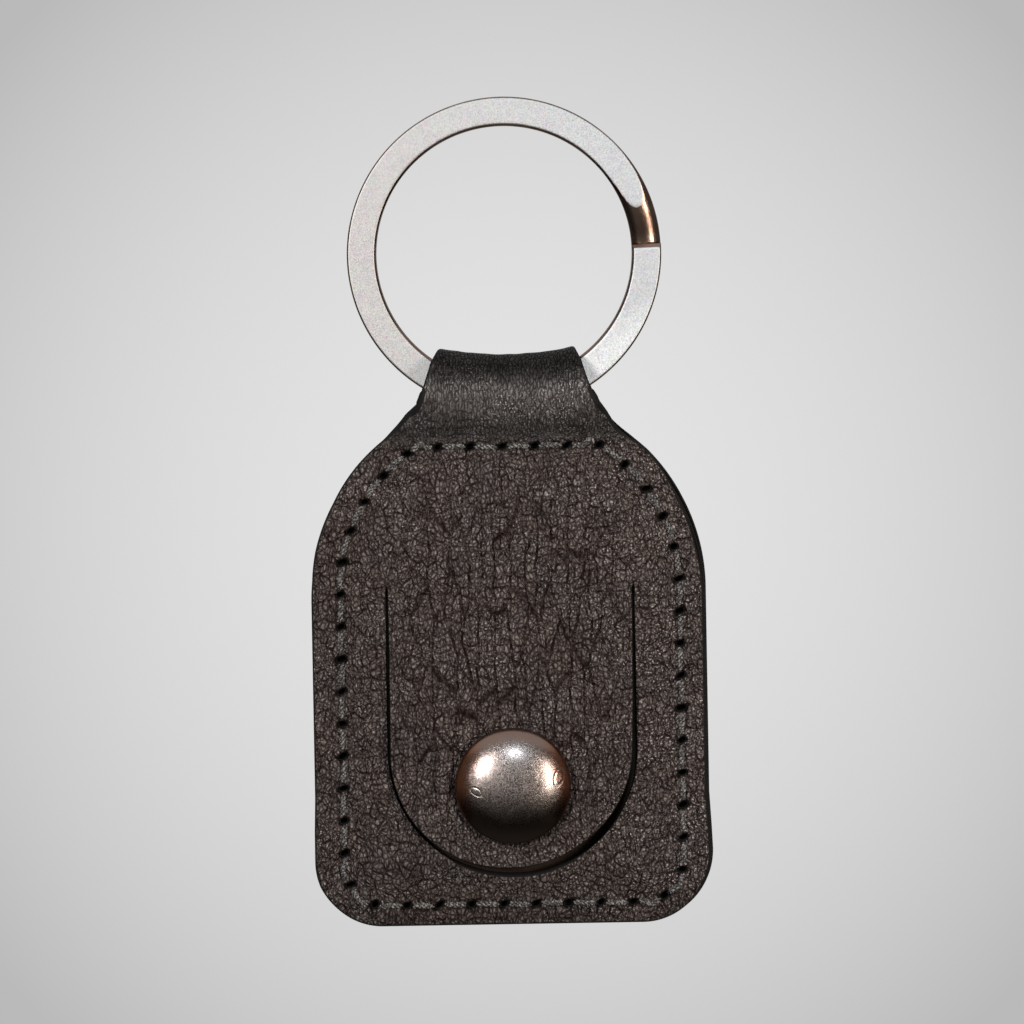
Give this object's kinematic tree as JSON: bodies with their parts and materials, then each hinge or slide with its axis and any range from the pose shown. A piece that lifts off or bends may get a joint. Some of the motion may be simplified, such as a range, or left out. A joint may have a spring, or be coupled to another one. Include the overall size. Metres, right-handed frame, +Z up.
{
  "type": "coin holder keychain",
  "caption": "Sewn leather coin pocket with a snap flap on its front, hanging by a leather neck loop from a split ring.",
  "frame": {"origin": "inside top of the split ring, where it hangs on a hook or a finger, in the middle of the ring's two turns", "axes": "+Z up along the hanging object, -Y out of the front with the snap, +X to the right seen from the front"},
  "size_m": [0.04, 0.0126, 0.084],
  "materials": {
    "ring_steel": "satin, worn",
    "wrap_leather": "pebbled, worn",
    "flap_leather": "pebbled, worn",
    "lining_leather": "raw suede",
    "front_thread": "waxed twist",
    "back_thread": "waxed twist",
    "cap_nickel": "polished, worn and scratched",
    "socket_nickel": "satin",
    "spring_steel": "drawn",
    "stud_nickel": "satin",
    "post_nickel": "satin"
  },
  "bodies": {
    "key_ring": {"split_ring": "ring_steel"},
    "case": {"leather_wrap": "wrap_leather", "pocket_lining": "lining_leather", "needle_thread": "front_thread", "bobbin_thread": "back_thread", "snap_stud": "stud_nickel", "snap_post": "post_nickel"},
    "flap": {"flap_leather": "flap_leather", "snap_cap": "cap_nickel", "snap_socket": "socket_nickel", "snap_spring": "spring_steel"}
  },
  "joints": [
    {"name": "ring_swing", "type": "hinge", "parent": "key_ring", "child": "case", "pos_m": [0, 0, -0.02689], "axis": [1, 0, 0], "range_deg": [-85, 85]},
    {"name": "flap_hinge", "type": "hinge", "parent": "case", "child": "flap", "pos_m": [0, -0.00311, -0.04718], "axis": [-1, 0, 0], "range_deg": [0, 150]}
  ]
}
